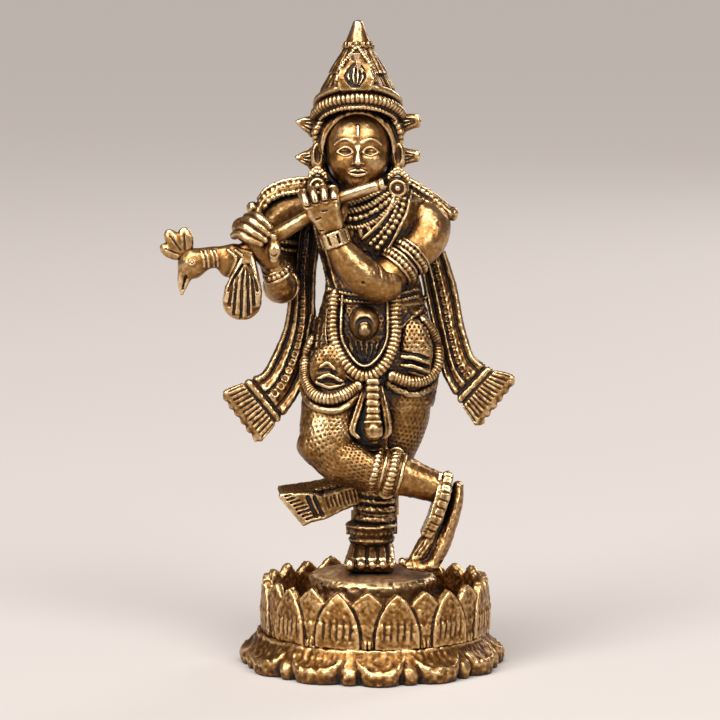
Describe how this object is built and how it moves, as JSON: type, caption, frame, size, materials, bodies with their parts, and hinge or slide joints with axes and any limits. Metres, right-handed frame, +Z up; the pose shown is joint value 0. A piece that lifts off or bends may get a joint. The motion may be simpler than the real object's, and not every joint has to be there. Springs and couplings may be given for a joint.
{
  "type": "hindu deity statue",
  "caption": "Cast brass standing flute player with crossed leg, tall crown and flying sashes, on a round lotus base with an open petal ring.",
  "frame": {"origin": "centre of the flat underside that the base rests on", "axes": "+Z up through the crown, the figure faces -Y, and its left side is towards +X"},
  "size_m": [0.0767, 0.0578, 0.14],
  "materials": {
    "figure_brass": "antique brass, worn bright and smooth on the skin",
    "cloth_brass": "antique brass, punched and chased cloth with dark recesses",
    "ornament_brass": "antique brass, beaded and roped relief with bright crests",
    "base_brass": "warm antique brass, as-cast and lightly pitted",
    "plinth_brass": "dull brown patina over brass"
  },
  "bodies": {
    "root": {"lotus_skirt": "base_brass", "lotus_bowl": "base_brass", "plinth": "plinth_brass", "torso": "figure_brass", "hips": "cloth_brass", "head": "figure_brass", "standing_foot": "figure_brass", "standing_shin": "cloth_brass", "standing_thigh": "cloth_brass", "crossed_calf": "figure_brass", "crossed_thigh": "cloth_brass", "crossed_foot": "figure_brass", "left_forearm": "figure_brass", "left_upper_arm": "figure_brass", "right_upper_arm": "figure_brass", "right_forearm": "figure_brass", "flute": "ornament_brass", "bird_body": "ornament_brass", "bird_crest": "ornament_brass", "bird_tail": "ornament_brass", "left_hand": "figure_brass", "right_hand": "figure_brass", "left_bangle": "ornament_brass", "right_bangle": "ornament_brass", "left_armlet_upper": "ornament_brass", "left_armlet_lower": "ornament_brass", "crossed_ankle_band": "ornament_brass", "hem_rope_inner": "ornament_brass", "hem_rope_outer": "ornament_brass", "shin_ring_lower": "ornament_brass", "shin_ring_middle": "ornament_brass", "shin_ring_upper": "ornament_brass", "pendant_sash": "cloth_brass", "waist_garland": "ornament_brass", "belt_boss": "ornament_brass", "hip_swag_right": "ornament_brass", "hip_swag_left": "ornament_brass", "hip_panel_right": "cloth_brass", "hip_panel_left": "cloth_brass", "sash_tail_right": "cloth_brass", "sash_tail_left": "cloth_brass", "dhoti_tail": "cloth_brass", "necklace_upper": "ornament_brass", "necklace_lower": "ornament_brass", "chest_drape": "cloth_brass", "shoulder_garland_right": "ornament_brass", "shoulder_garland_left": "ornament_brass", "crown_cone": "ornament_brass", "crown_rope_band": "ornament_brass", "crown_band": "ornament_brass", "hair": "ornament_brass", "crown_plaque": "ornament_brass", "crown_finial": "ornament_brass", "earring_right": "ornament_brass", "earring_left": "ornament_brass", "ear_flower_upper_right": "ornament_brass", "ear_flower_lower_right": "ornament_brass", "ear_flower_upper_left": "ornament_brass", "ear_flower_lower_left": "ornament_brass"}
  },
  "joints": []
}
